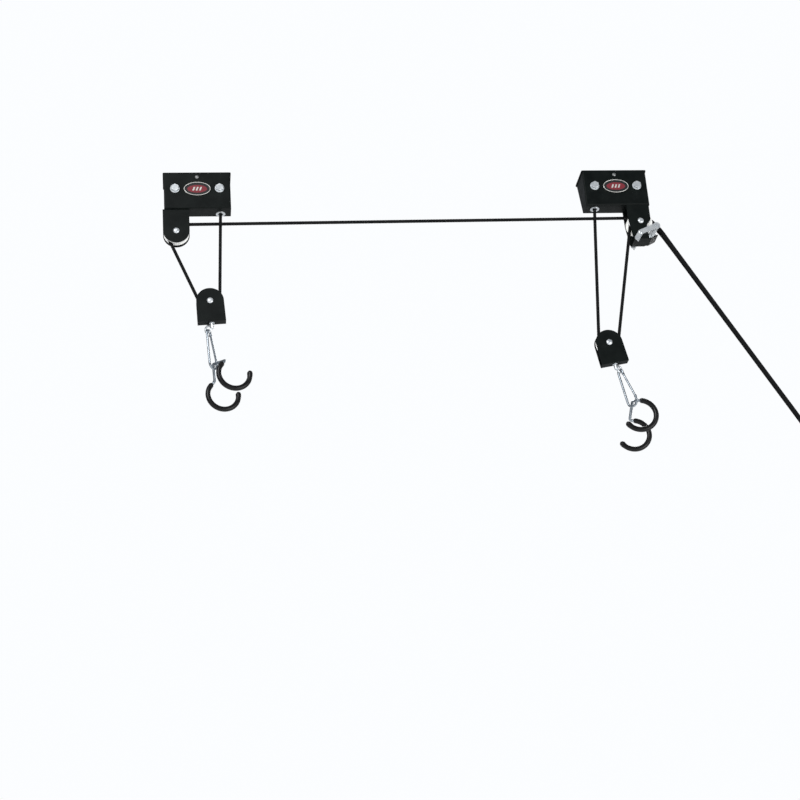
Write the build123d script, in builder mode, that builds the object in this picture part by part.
"""Ceiling bicycle hoist: two brackets, two rope-hung hook blocks and a rope lock.

Units are millimetres, +Z is up and -Y is the front. The origin is the centre of
the right-hand bracket's top plate, on the face that meets the ceiling.
"""
import os
from math import atan2, cos, degrees, pi, radians, sin

from build123d import *

# ---------------------------------------------------------------- driving sizes
BRACKET_PITCH = 762.0        # between the two bracket centres (30 in)
BRACKET_WIDTH = 118.0
BRACKET_HEIGHT = 72.5
BRACKET_FRONT = -28.0        # y of the front face
SHELL_TOP_DEPTH = 52.0
SHELL_LIP_DEPTH = 31.0
SHEET = 2.0
PLATE_THICKNESS = 2.5
PLATE_OVERHANG = 1.5
CEILING_HOLE = 6.5
CEILING_HOLE_X = 20.0
SCREW_X = 39.4               # lag screws, either side of the badge
SCREW_Z = -33.0
GROMMET_X = 40.6
GROMMET_Y = {"left": -6.0, "right": -12.2}      # either side of the crossing rope run
BADGE_SIZE = (47.0, 27.0)

ROPE = 6.0
PITCH_RADIUS = 17.0          # rope centreline on every sheave
SHEAVE_RADIUS = 22.3
AXLE = 8.0
RUNNING = 0.05               # radial clearance of a sheave on its axle

HEAD_LEFT = (-BRACKET_PITCH - 38.5, -115.0)
HEAD_RIGHT = (38.5, -105.0)
LEFT_PLANE = -14.0           # y of each head sheave's middle
FRONT_PLANE = -18.0
REAR_PLANE = -5.0
LEFT_CAGE = (LEFT_PLANE - 10, LEFT_PLANE + 10)
RIGHT_CAGE = (BRACKET_FRONT + 1, 3.5)
CAGE_BOTTOM = -142.5         # lower end of the right-hand cage
BLOCKS = {                   # axle place, y of the middle plane, lean to the right
    "left": ((-745.2, -250.3), -10.0, 3.0),
    "right": ((-47.6, -346.0), -14.0, 10.0),
}

STRAP_RADIUS = 24.0
STRAP_DROP = 40.0            # axle to the underside of the web
STRAP_INNER = 11.0
EYE_RING = 6.2               # centre radius of the swivel's ring
EYE_WIRE = 1.9
EYE_DROP = 9.2               # ring centre, below the strap
EYE_REACH = 9.0              # ring centre, out from the swivel pin
LINK_LENGTH = 76.0
LINK_WIRE = 4.0
LINK_SMALL = 4.6             # wire centre radius at the top
LINK_BIG = 9.5               # and at the bottom
LINK_TURN = {"left": -50.0, "right": 50.0}      # link plane, turned from facing front
HOOK_ROD = 5.0
HOOK_COAT = 9.2
HOOK_RADIUS = 27.0
HOOK_SPREAD = 90.0
HOOK_DROP = 17.0             # crossbar's peak down to its corners
HOOK_REACH = 7.0             # crossbar out to the middle of a bowl
HOOK_SEAT = 8.3              # peak of the crossbar above the link's lowest wire centre
HOOK_SWEEP = 240.0
HOOKS = {                    # turn about the vertical, swing to the right, closed side
    "left": (11.0, 45.0, -1),
    "right": (-6.0, -5.0, 1),
}

LOCK_PIN = (34.3, -130.3)
LOCK_BAR = (66.0, -117.0)
LOCK_BAR_RADIUS = 4.9
LOCK_HEEL = (26.6, -141.5)
LOCK_GAP = 0.4               # lever plates outside the cage

os.makedirs("parts", exist_ok=True)


def save(shape, name):
    """Label a finished piece and write it to its own STEP file."""
    shape.label = name
    export_step(shape, f"parts/{name}.step")


def facing(x, y, z, tilt=0.0):
    """A plane seen from the front: local x to the right, local y up, normal to -Y."""
    turn = radians(tilt)
    return Plane(origin=(x, y, z), x_dir=(cos(turn), 0, sin(turn)), z_dir=(0, -1, 0))


# ---------------------------------------------------------------- brackets
LIP_TOP = -BRACKET_HEIGHT + SHEET


def ceiling_plate(centre_x):
    """Plate against the ceiling, with a tab behind the front face for the seam rivet."""
    half = BRACKET_WIDTH / 2 + PLATE_OVERHANG
    with BuildPart() as plate:
        with BuildSketch(Plane.XY.offset(-PLATE_THICKNESS)):
            with Locations((centre_x, 0)):
                RectangleRounded(2 * half, 56, 2.5)
            with Locations((centre_x - CEILING_HOLE_X, 0), (centre_x + CEILING_HOLE_X, 0)):
                Circle(CEILING_HOLE / 2, mode=Mode.SUBTRACT)
        extrude(amount=PLATE_THICKNESS)
        with BuildSketch(facing(centre_x, BRACKET_FRONT + 2 * SHEET, 0)):
            with Locations((0, -PLATE_THICKNESS - 7)):
                Rectangle(22, 14)
            with Locations((0, -9)):
                Circle(2.05, mode=Mode.SUBTRACT)
        extrude(amount=SHEET)
    return plate.part


def bracket_shell(centre_x, grommet_place, cage_rivets):
    """Folded sheet: front face, two side walls that taper to the back, and a bottom lip."""
    back_top = BRACKET_FRONT + SHELL_TOP_DEPTH
    back_low = BRACKET_FRONT + SHELL_LIP_DEPTH
    side = Plane(origin=(centre_x, 0, 0), x_dir=(0, 1, 0), z_dir=(1, 0, 0))
    with BuildPart() as shell:
        with BuildSketch(side):
            with BuildLine():
                Polyline(
                    (BRACKET_FRONT, -PLATE_THICKNESS),
                    (back_top, -PLATE_THICKNESS),
                    (back_low, -BRACKET_HEIGHT),
                    (BRACKET_FRONT, -BRACKET_HEIGHT),
                    close=True,
                )
            make_face()
        extrude(amount=BRACKET_WIDTH / 2, both=True)
        front_edges = shell.edges().group_by(Axis.Y)[0]
        fillet(front_edges.filter_by(Axis.Z) + front_edges.filter_by(Axis.X).sort_by(Axis.Z)[:1], 2.4)
        with BuildSketch(side):
            with Locations((BRACKET_FRONT + SHEET + 40, LIP_TOP + 50)):
                Rectangle(80, 100)
        extrude(amount=BRACKET_WIDTH / 2 - SHEET, both=True, mode=Mode.SUBTRACT)
        with BuildSketch(facing(centre_x, BRACKET_FRONT + SHEET, 0)):
            with Locations((-SCREW_X, SCREW_Z), (SCREW_X, SCREW_Z)):
                Circle(3.3)
            with Locations((0, -9)):
                Circle(2.05)
        extrude(amount=SHEET + 1, mode=Mode.SUBTRACT)
        with BuildSketch(Plane.XY.offset(-BRACKET_HEIGHT - 1)):
            with Locations(grommet_place):
                Circle(5.5)
            with Locations(*cage_rivets):
                Circle(2.55)
        extrude(amount=SHEET + 2, mode=Mode.SUBTRACT)
    return shell.part


def grommet(x, y):
    """Rolled eyelet that lines the rope hole in the lip."""
    low = -BRACKET_HEIGHT - 1.2
    high = LIP_TOP + 1.0
    with BuildPart() as eyelet:
        with BuildSketch(Plane(origin=(x, y, 0), x_dir=(1, 0, 0), z_dir=(0, -1, 0))):
            with BuildLine():
                Polyline(
                    (4.2, low), (8.5, low), (8.5, -BRACKET_HEIGHT), (5.45, -BRACKET_HEIGHT),
                    (5.45, LIP_TOP), (7.6, LIP_TOP), (7.6, high), (4.2, high),
                    close=True,
                )
            make_face()
        revolve(axis=Axis((x, y, 0), (0, 0, 1)))
        fillet(eyelet.edges().filter_by(GeomType.CIRCLE).group_by(Axis.Z)[0], 0.5)
    return eyelet.part


def badge(centre_x):
    """Domed oval badge on the front face, with a raised rim."""
    face = facing(centre_x, BRACKET_FRONT, -34)
    with BuildPart() as plaque:
        with BuildSketch(face):
            Ellipse(BADGE_SIZE[0] / 2, BADGE_SIZE[1] / 2)
        extrude(amount=0.8)
        with BuildSketch(face.offset(0.8)):
            Ellipse(BADGE_SIZE[0] / 2, BADGE_SIZE[1] / 2)
            Ellipse(BADGE_SIZE[0] / 2 - 1.8, BADGE_SIZE[1] / 2 - 1.8, mode=Mode.SUBTRACT)
        extrude(amount=0.6)
    return plaque.part


def rivet(x, z, y_front, y_back, shank, head, rise):
    """Pin along Y with a domed head at the front and a flat peened head behind."""
    middle = Plane(origin=(x, 0, z), x_dir=(1, 0, 0), z_dir=(0, 0, 1))
    with BuildPart() as pin:
        with BuildSketch(middle):
            with BuildLine():
                crown = ThreePointArc(
                    (0, y_front - rise), (head * 0.36, y_front - rise * 0.72), (head / 2, y_front)
                )
                Polyline(
                    crown @ 1, (shank / 2, y_front), (shank / 2, y_back), (head * 0.45, y_back),
                    (head * 0.4, y_back + rise * 0.8), (0, y_back + rise * 0.8), crown @ 0,
                )
            make_face()
        revolve(axis=Axis((x, 0, z), (0, 1, 0)))
    return pin.part


def lag_screw(x, z):
    """Hex-headed lag screw through the front face, pointing back."""
    face = facing(x, BRACKET_FRONT - 1.5, z)
    with BuildPart() as screw:
        with BuildSketch(face):
            RegularPolygon(6.5, 6, major_radius=False, rotation=30)
        extrude(amount=5)
        chamfer(screw.faces().sort_by(Axis.Y)[0].edges(), 0.7)
        with BuildSketch(face):
            Circle(3.1)
        extrude(amount=-32)
        with BuildSketch(face.offset(-32)):
            Circle(3.1)
        extrude(amount=-6, taper=24)
    return screw.part


def washer(x, z):
    with BuildPart() as ring:
        with BuildSketch(facing(x, BRACKET_FRONT, z)):
            Circle(8.4)
            Circle(3.3, mode=Mode.SUBTRACT)
        extrude(amount=1.5)
        chamfer(ring.faces().sort_by(Axis.Y)[0].outer_wire().edges(), 0.4)
    return ring.part


def cage_rivet(x, y):
    """Short rivet that joins a sheave cage's web to the lip, standing along Z."""
    low = -BRACKET_HEIGHT - SHEET
    with BuildPart() as pin:
        with BuildSketch(Plane(origin=(x, y, 0), x_dir=(1, 0, 0), z_dir=(0, -1, 0))):
            with BuildLine():
                Polyline(
                    (0, low - 2), (3.2, low - 2), (4.5, low), (2.5, low), (2.5, LIP_TOP),
                    (4.2, LIP_TOP), (3.4, LIP_TOP + 1.6), (0, LIP_TOP + 1.6),
                    close=True,
                )
            make_face()
        revolve(axis=Axis((x, y, 0), (0, 0, 1)))
    return pin.part


# ---------------------------------------------------------------- sheave cages
def sheave_cage(ear, y_front, y_back, rivets, web):
    """Two ears joined by a web under the lip; `ear` is the sketch of one, seen from the front."""
    with BuildPart() as cage:
        for y_outer in (y_front + SHEET, y_back):
            with BuildSketch(facing(0, y_outer, 0)):
                add(ear)
            extrude(amount=SHEET)
        with BuildSketch(Plane.XY.offset(-BRACKET_HEIGHT - SHEET)):
            with Locations(((web[0] + web[1]) / 2, (y_front + y_back) / 2)):
                Rectangle(web[1] - web[0], y_back - y_front)
            with Locations(*rivets):
                Circle(2.55, mode=Mode.SUBTRACT)
        extrude(amount=SHEET)
    return cage.part


def left_ear():
    """Straight sides and a round end about the axle."""
    x, z = HEAD_LEFT
    width = 46.7
    with BuildSketch() as ear:
        with Locations((x, (z - BRACKET_HEIGHT) / 2)):
            Rectangle(width, -BRACKET_HEIGHT - z)
        with Locations((x, z)):
            Circle(width / 2)
            Circle(AXLE / 2 + 0.02, mode=Mode.SUBTRACT)
    return ear.sketch


def right_ear():
    """Ear that narrows to the left, steps in at the lower right and carries the lock pin."""
    with BuildSketch() as ear:
        with BuildLine():
            Polyline(
                (15, -BRACKET_HEIGHT), (57, -BRACKET_HEIGHT), (57, -103), (48, -115),
                (50, CAGE_BOTTOM), (21, CAGE_BOTTOM), (16, -104),
                close=True,
            )
        make_face()
        lower = [corner for corner in ear.vertices() if corner.Y < -BRACKET_HEIGHT - 1]
        fillet(lower, 3)
        with Locations(HEAD_RIGHT):
            Circle(AXLE / 2 + 0.02, mode=Mode.SUBTRACT)
        with Locations(LOCK_PIN):
            Circle(2.52, mode=Mode.SUBTRACT)
    return ear.sketch


# ---------------------------------------------------------------- sheaves and axles
def sheave(x, y, z, half_hub):
    """Moulded rope wheel with a deep round groove, recessed webs and a plain bore."""
    bore = AXLE / 2 + RUNNING
    floor = PITCH_RADIUS - ROPE / 2 - 0.8
    half_rim = 4.8
    with BuildPart() as wheel:
        with BuildSketch(Plane(origin=(x, y, z), x_dir=(1, 0, 0), z_dir=(0, 0, 1))):
            with BuildLine():
                groove = ThreePointArc((floor + 2.4, -3.1), (floor, 0), (floor + 2.4, 3.1))
                Polyline(
                    groove @ 1, (SHEAVE_RADIUS - 0.6, 3.6), (SHEAVE_RADIUS, 4.0),
                    (SHEAVE_RADIUS - 0.5, half_rim), (12, half_rim), (11.2, half_rim - 1.4),
                    (7.8, half_rim - 1.4), (7, half_hub), (bore, half_hub), (bore, -half_hub),
                    (7, -half_hub), (7.8, 1.4 - half_rim), (11.2, 1.4 - half_rim), (12, -half_rim),
                    (SHEAVE_RADIUS - 0.5, -half_rim), (SHEAVE_RADIUS, -4.0),
                    (SHEAVE_RADIUS - 0.6, -3.6), groove @ 0,
                )
            make_face()
        revolve(axis=Axis((x, y, z), (0, 1, 0)))
    return wheel.part


# ---------------------------------------------------------------- rope lock
LEVER_FRONT = RIGHT_CAGE[0] - LOCK_GAP - SHEET
LEVER_BACK = RIGHT_CAGE[1] + LOCK_GAP


def arm_between(start, end, width):
    """Round-ended bar between two points of the current sketch."""
    run = (end[0] - start[0], end[1] - start[1])
    middle = (start[0] + run[0] / 2, start[1] + run[1] / 2)
    with Locations(Location(middle, degrees(atan2(run[1], run[0])))):
        SlotCenterToCenter((run[0] ** 2 + run[1] ** 2) ** 0.5, width)


def lever_plate():
    """Side plate of the lever: bent at the pin, wider round the bar, toothed along its heel."""
    with BuildSketch() as plate:
        arm_between(LOCK_PIN, LOCK_BAR, 9.5)
        arm_between(LOCK_PIN, LOCK_HEEL, 8)
        with Locations(LOCK_BAR):
            Circle(6.6)
        for step in range(5):
            along = 0.15 + 0.28 * step
            foot = (LOCK_PIN[0] + along * (LOCK_HEEL[0] - LOCK_PIN[0]),
                    LOCK_PIN[1] + along * (LOCK_HEEL[1] - LOCK_PIN[1]))
            with Locations(Location((foot[0] + 3.6, foot[1] - 2.4), -34)):
                Triangle(a=3.2, b=3.2, c=3.2, align=(Align.CENTER, Align.CENTER))
        with Locations(LOCK_PIN):
            Circle(2.55, mode=Mode.SUBTRACT)
        with Locations(LOCK_BAR):
            Circle(3.02, mode=Mode.SUBTRACT)
    return plate.sketch


def lock_plate(y_plate):
    """One of the lever's two plated side plates, which lie outside the cage's ears."""
    with BuildPart() as side_plate:
        with BuildSketch(facing(0, y_plate, 0)):
            add(lever_plate())
        extrude(amount=SHEET)
    return side_plate.part


def lock_bridge():
    """Narrow bar behind the arm that joins the two side plates."""
    with BuildPart() as bridge:
        with BuildSketch(facing(0, LEVER_BACK, 0)):
            with Locations(Location((59.2, -121.2), 23)):
                Rectangle(5, 1.8)
        extrude(amount=LEVER_BACK - LEVER_FRONT - SHEET)
    return bridge.part


def lock_bar():
    """Bar across the lever's outer end, which both ropes bend over."""
    between = LEVER_BACK - LEVER_FRONT - SHEET
    with BuildPart() as bar:
        with BuildSketch(facing(LOCK_BAR[0], LEVER_BACK, LOCK_BAR[1])):
            Circle(LOCK_BAR_RADIUS)
        extrude(amount=between)
        with BuildSketch(facing(LOCK_BAR[0], LEVER_BACK + SHEET + 0.8, LOCK_BAR[1])):
            Circle(3)
        extrude(amount=between + 2 * SHEET + 1.6)
    return bar.part


def rope_guide():
    """Keeper plate between the ears' lower ends, with a lip that rises to the right."""
    top = CAGE_BOTTOM + 2.2
    with BuildPart() as keeper:
        with BuildSketch(facing(0, RIGHT_CAGE[1] - SHEET, 0)):
            with BuildLine():
                Polyline((24, top), (53.5, top), (66.2, top + 6.7), (67.2, top + 5),
                         (54, top - SHEET), (24, top - SHEET), close=True)
            make_face()
        extrude(amount=RIGHT_CAGE[1] - RIGHT_CAGE[0] - 2 * SHEET)
    return keeper.part


# ---------------------------------------------------------------- hook blocks
def block_ear(frame, offset):
    """Round-topped side plate of a block, standing at an offset along the block's axle."""
    with BuildPart() as ear:
        with BuildSketch(frame.offset(offset)):
            with BuildLine():
                dome = CenterArc((0, 0), STRAP_RADIUS, 0, 180)
                Polyline(dome @ 1, (-STRAP_RADIUS - 0.6, -STRAP_DROP),
                         (STRAP_RADIUS + 0.6, -STRAP_DROP), dome @ 0)
            make_face()
            Circle(AXLE / 2 + RUNNING, mode=Mode.SUBTRACT)
        extrude(amount=SHEET)
    return ear.part


def block_web(frame):
    """Web between the lower ends of a block's ears, with the swivel's hole."""
    web_plane = Plane(origin=frame.from_local_coords((0, -STRAP_DROP, 0)),
                      x_dir=frame.x_dir, z_dir=frame.y_dir)
    with BuildPart() as web:
        with BuildSketch(web_plane):
            Rectangle(2 * STRAP_RADIUS + 1.2, STRAP_INNER)
            Circle(3.05, mode=Mode.SUBTRACT)
        extrude(amount=SHEET)
    return web.part


def eye_centre(frame, side):
    """Centre of the swivel's ring and the level direction from the pin towards it."""
    turn = radians(LINK_TURN[side])
    arm = frame.x_dir * sin(turn) - frame.z_dir * cos(turn)
    return frame.from_local_coords((0, -STRAP_DROP - EYE_DROP, 0)) + arm * EYE_REACH, arm


def swivel_eye(frame, side):
    """Swivel pin through the strap's web, with a ring at its side that the link hangs in."""
    centre, arm = eye_centre(frame, side)
    along = frame.y_dir
    foot = frame.from_local_coords((0, -STRAP_DROP, 0))
    with BuildPart() as eye:
        with BuildSketch(Plane(origin=foot, x_dir=arm, z_dir=arm.cross(along))):
            with BuildLine():
                Polyline((0, -11.4), (2.2, -11.4), (3.2, -10), (3.2, -1), (4.6, -1), (4.6, -0.3),
                         (3, -0.3), (3, SHEET + 0.3), (5, SHEET + 0.3), (4.4, 4.4), (0, 4.4),
                         close=True)
            make_face()
        revolve(axis=Axis(foot, along))
        with BuildSketch(Plane(origin=centre + arm * EYE_RING, x_dir=arm, z_dir=along)):
            Circle(EYE_WIRE)
        revolve(axis=Axis(centre, arm.cross(along)))
    return eye.part


def link_plane(frame, side):
    """Plane of the snap link, square to the swivel's ring; local x across, local y up."""
    turn = radians(LINK_TURN[side])
    across = frame.x_dir * cos(turn) + frame.z_dir * sin(turn)
    return Plane(origin=eye_centre(frame, side)[0], x_dir=across,
                 z_dir=across.cross(frame.y_dir))


LINK_TOP = EYE_WIRE - EYE_RING + LINK_WIRE / 2 + 0.3     # wire centre at the crown
LINK_LOW = LINK_TOP - LINK_LENGTH + LINK_WIRE
BOWL_X = LINK_BIG - LINK_SMALL                           # the bowl bulges to the right
BOWL_Y = LINK_LOW + LINK_BIG


def wire_sweep(plane, draw, radius):
    """Round wire along a path that `draw` makes in the plane."""
    with BuildPart() as wire:
        with BuildLine(plane) as path:
            draw()
        with BuildSketch(Plane(origin=path.line @ 0, z_dir=path.line % 0)):
            Circle(radius)
        sweep(path=path.line)
    return wire.part


def link_wire(frame, side):
    """Snap link: narrow at the ring, wide at the hook, open along one side for the gate."""

    def outline():
        top = LINK_TOP - LINK_SMALL
        Line((LINK_SMALL, top - 4), (LINK_SMALL, top))
        crown = CenterArc((0, top), LINK_SMALL, 0, 180)
        Line(crown @ 1, (-LINK_SMALL, BOWL_Y))
        bowl = CenterArc((BOWL_X, BOWL_Y), LINK_BIG, 180, 180)
        Line(bowl @ 1, (BOWL_X + LINK_BIG, BOWL_Y + 7))

    return wire_sweep(link_plane(frame, side), outline, LINK_WIRE / 2)


def gate(frame, side):
    """Sprung gate bar from its hinge under the crown down to the link's nose."""
    plane = link_plane(frame, side)
    hinge = plane.from_local_coords((LINK_SMALL, LINK_TOP - LINK_SMALL - 4.6, 0))
    nose = plane.from_local_coords((BOWL_X + LINK_BIG - 0.3, BOWL_Y + 7.6, 0))
    with BuildPart() as bar:
        with BuildSketch(Plane(origin=hinge, z_dir=nose - hinge)):
            Circle(LINK_WIRE / 2 - 0.2)
        extrude(amount=(nose - hinge).length)
    return bar.part


def hook_axes(frame, side):
    """Peak of the crossbar, its direction, and the hook's own up and closed-side directions."""
    yaw, swing, closed_side = HOOKS[side]
    peak = link_plane(frame, side).from_local_coords((BOWL_X, LINK_LOW + HOOK_SEAT, 0))
    turn, lean = radians(yaw), radians(swing)
    along = Vector(-sin(turn), cos(turn), 0)
    across = Vector(cos(turn), sin(turn), 0)
    up = Vector(0, 0, 1) * cos(lean) - across * sin(lean)
    closed = (across * cos(lean) + Vector(0, 0, 1) * sin(lean)) * closed_side
    return peak, along, up, closed


def hook_rod(frame, side):
    """Crossbar that drops from its peak to two corners, with a stub at each coated bowl."""
    peak, along, up, closed = hook_axes(frame, side)
    near = peak - along * HOOK_SPREAD / 2 - up * HOOK_DROP
    far = peak + along * HOOK_SPREAD / 2 - up * HOOK_DROP
    start = near + closed * HOOK_REACH
    with BuildPart() as rod:
        with BuildLine() as path:
            FilletPolyline(start, near, peak, far, far + closed * HOOK_REACH, radius=[6, 8, 6])
        with BuildSketch(Plane(origin=start, z_dir=-closed)):
            Circle(HOOK_ROD / 2)
        sweep(path=path.line)
    return rod.part


def hook_bowl(frame, side, lobe):
    """Vinyl-coated bowl: an arc from the crossbar's stub round to the open tip."""
    peak, along, up, closed = hook_axes(frame, side)
    corner = peak + along * (lobe * HOOK_SPREAD / 2) - up * HOOK_DROP
    plane = Plane(origin=corner + closed * HOOK_REACH - up * HOOK_RADIUS, x_dir=closed,
                  z_dir=closed.cross(up))

    def outline():
        CenterArc((0, 0), HOOK_RADIUS, 90, -HOOK_SWEEP)

    return wire_sweep(plane, outline, HOOK_COAT / 2)


# ---------------------------------------------------------------- ropes
# Each rope is knotted above a grommet, falls to its block, climbs to its head sheave,
# bends over the lock's bar and runs taut to the cleat. Points are (x, y, z).
LEFT_FALL = [(-721.4, -6, -69.5), (-728.2, -10, -251)]
LEFT_BIGHT = [(-728.2, -10, -251), (-728.5, -10, -259.2), (-741.9, -10, -268.9),
              (-757.8, -10, -264.4), (-760.9, -10, -256.7)]
LEFT_LEAD = [(-760.9, -10, -256.7), (-816.2, -14, -121.4)]
REAR_RUN = [(-816.2, -14, -121.4), (-819.6, -14, -113.1), (-809.7, -14, -98.1),
            (44.7, -5, -87.9), (72.4, -5.6, -111.8), (92.1, -8, -148.4), (319.2, -7.6, -571.1)]
RIGHT_FALL = [(-40.6, -12.2, -69.5), (-64.5, -14, -344.5)]
RIGHT_BIGHT = [(-64.5, -14, -344.5), (-65.4, -14, -353.8), (-50.5, -14, -365.2),
               (-32.9, -14, -358.7), (-31, -14, -349.5)]
RIGHT_LEAD = [(-31, -14, -349.5), (21.9, -18, -101.5)]
FRONT_RUN = [(21.9, -18, -101.5), (23.1, -18, -95.5), (32.7, -18, -87.9), (45, -18, -88.1),
             (72.4, -17.2, -111.8), (92.1, -14.4, -148.4), (319.2, -14, -571.1)]
SHEAVE_BEND = 0.94 * PITCH_RADIUS
BAR_BEND = 8.1
TAIL_BEND = 60.0             # where the two tails close up side by side
CLEAT = (310.7, -575.6)
CLEAT_TURN = 9.6             # rope centreline round the cleat's stem


def rope(points, bends, gap=0.0):
    """Round rope along straight runs and tangent arcs, with `gap` left off each end."""
    first, last = Vector(*points[0]), Vector(*points[-1])
    first = first + (Vector(*points[1]) - first).normalized() * gap
    last = last + (Vector(*points[-2]) - last).normalized() * gap
    with BuildPart() as tube:
        with BuildLine() as path:
            if bends:
                FilletPolyline(first, *points[1:-1], last, radius=bends)
            else:
                Line(first, last)
        with BuildSketch(Plane(origin=path.line @ 0, z_dir=path.line % 0)):
            Circle(ROPE / 2)
        sweep(path=path.line)
    length = sum(edge.length for edge in path.edges())
    ratio = tube.part.volume / (length * pi * ROPE ** 2 / 4)
    print(f"rope {length:.1f} mm, volume ratio {ratio:.4f}, bends {bends}")
    return tube.part


def stopper_knot(x, y):
    """Plain body of the knot that sits on the grommet."""
    low = LIP_TOP + 1.0
    with BuildPart() as knot:
        with BuildSketch(Plane.XY.offset(low)):
            with Locations((x, y)):
                Circle(7.6)
        extrude(amount=14)
        fillet(knot.edges(), 3.5)
    return knot.part


def cleat_plane(y):
    """Plane through the cleat's stem with local y along the ropes."""
    run = FRONT_RUN[-1][0] - FRONT_RUN[-2][0]
    drop = FRONT_RUN[-2][2] - FRONT_RUN[-1][2]
    return facing(CLEAT[0], y, CLEAT[1], degrees(atan2(run, drop)))


def cleat():
    """Wall cleat: base with two screw holes, a stem and two horns."""
    with BuildPart() as body:
        with BuildSketch(cleat_plane(4)):
            SlotOverall(66, 20, rotation=90)
            with Locations((0, 23), (0, -23)):
                Circle(2.4, mode=Mode.SUBTRACT)
        extrude(amount=4)
        with BuildSketch(cleat_plane(0)):
            Circle(6.4)
        extrude(amount=18)
        with BuildSketch(cleat_plane(-17.4)):
            SlotOverall(72, 13, rotation=90)
        extrude(amount=7)
        fillet(body.faces().sort_by(Axis.Y)[0].edges(), 2.5)
    return body.part


def tail_turns():
    """One round turn of each rope on the cleat's stem."""
    turns = []
    for y in (FRONT_RUN[-1][1], REAR_RUN[-1][1]):
        with BuildPart() as ring:
            with BuildSketch(Plane(origin=(CLEAT[0] + CLEAT_TURN, y, CLEAT[1]), z_dir=(0, 0, 1))):
                Circle(ROPE / 2)
            revolve(axis=Axis((CLEAT[0], y, CLEAT[1]), (0, 1, 0)))
        turns.append(ring.part)
    return Compound(turns)


# ---------------------------------------------------------------- building
BRACKETS = {                 # centre x, side of the grommet, cage rivets
    "left": (-BRACKET_PITCH, 1, [(HEAD_LEFT[0] + dx, LEFT_PLANE) for dx in (-12, 12)]),
    "right": (0.0, -1, [(HEAD_RIGHT[0] + dx, -11) for dx in (-13, 11)]),
}

for side, (x, grommet_side, rivets) in BRACKETS.items():
    eyelet_place = (x + grommet_side * GROMMET_X, GROMMET_Y[side])
    save(ceiling_plate(x), f"{side}_ceiling_plate")
    save(bracket_shell(x, eyelet_place, rivets), f"{side}_bracket_shell")
    save(grommet(*eyelet_place), f"{side}_rope_grommet")
    save(badge(x), f"{side}_badge")
    save(stopper_knot(*eyelet_place), f"{side}_stopper_knot")

bracket_centres = [x for x, _, _ in BRACKETS.values()]
screw_places = [(x + s * SCREW_X, SCREW_Z) for x in bracket_centres for s in (-1, 1)]
rivet_places = [place for _, _, rivets in BRACKETS.values() for place in rivets]
seams = [rivet(x, -9, BRACKET_FRONT, BRACKET_FRONT + 2 * SHEET, 4, 7, 1.4) for x in bracket_centres]
save(Compound([lag_screw(x, z) for x, z in screw_places]), "lag_screws")
save(Compound([washer(x, z) for x, z in screw_places]), "lag_screw_washers")
save(Compound(seams), "seam_rivets")
save(Compound([cage_rivet(x, y) for x, y in rivet_places]), "cage_rivets")

left_web = (HEAD_LEFT[0] - 23.35, HEAD_LEFT[0] + 23.35)
save(sheave_cage(left_ear(), *LEFT_CAGE, BRACKETS["left"][2], left_web), "left_sheave_cage")
save(sheave_cage(right_ear(), *RIGHT_CAGE, BRACKETS["right"][2], (15, 57)), "right_sheave_cage")
save(rivet(*HEAD_LEFT, *LEFT_CAGE, AXLE, 11, 2.0), "left_head_axle")
save(rivet(*HEAD_RIGHT, *RIGHT_CAGE, AXLE, 11, 1.9), "right_head_axle")
save(sheave(HEAD_LEFT[0], LEFT_PLANE, HEAD_LEFT[1], 7.8), "left_head_sheave")
save(sheave(HEAD_RIGHT[0], FRONT_PLANE, HEAD_RIGHT[1], 6.4), "front_head_sheave")
save(sheave(HEAD_RIGHT[0], REAR_PLANE, HEAD_RIGHT[1], 6.4), "rear_head_sheave")
save(lock_plate(LEVER_FRONT + SHEET), "lock_front_plate")
save(lock_plate(LEVER_BACK + SHEET), "lock_rear_plate")
save(lock_bridge(), "lock_bridge")
save(lock_bar(), "lock_bar")
save(rivet(*LOCK_PIN, LEVER_FRONT - 0.3, LEVER_BACK + SHEET + 0.3, 5, 9, 1.6), "lock_pin")
save(rope_guide(), "rope_guide")

for side, ((x, z), y, tilt) in BLOCKS.items():
    frame = facing(x, y, z, tilt)
    half_outer = STRAP_INNER / 2 + SHEET
    save(block_ear(frame, STRAP_INNER / 2), f"{side}_block_front_ear")
    save(block_ear(frame, -half_outer), f"{side}_block_rear_ear")
    save(block_web(frame), f"{side}_block_web")
    save(rivet(x, z, y - half_outer - 0.3, y + half_outer + 0.3, AXLE, 11, 2.0),
         f"{side}_block_axle")
    save(sheave(x, y, z, STRAP_INNER / 2 - 0.25), f"{side}_block_sheave")
    save(swivel_eye(frame, side), f"{side}_swivel_eye")
    save(link_wire(frame, side), f"{side}_snap_link")
    save(gate(frame, side), f"{side}_link_gate")
    save(hook_rod(frame, side), f"{side}_hook_rod")
    save(hook_bowl(frame, side, -1), f"{side}_hook_front_bowl")
    save(hook_bowl(frame, side, 1), f"{side}_hook_rear_bowl")

END_GAP = 0.3                # a fall stops just short of the knot and the sheave's rope
save(rope(LEFT_FALL, None, END_GAP), "left_anchor_fall")
save(rope(LEFT_BIGHT, SHEAVE_BEND), "left_block_bight")
save(rope(LEFT_LEAD, None, END_GAP), "left_lead_fall")
save(rope(REAR_RUN, [SHEAVE_BEND] * 3 + [BAR_BEND, TAIL_BEND]), "rear_rope_run")
save(rope(RIGHT_FALL, None, END_GAP), "right_anchor_fall")
save(rope(RIGHT_BIGHT, SHEAVE_BEND), "right_block_bight")
save(rope(RIGHT_LEAD, None, END_GAP), "right_lead_fall")
save(rope(FRONT_RUN, [12, 12, 12, BAR_BEND, TAIL_BEND]), "front_rope_run")
save(tail_turns(), "tail_turns")
save(cleat(), "wall_cleat")
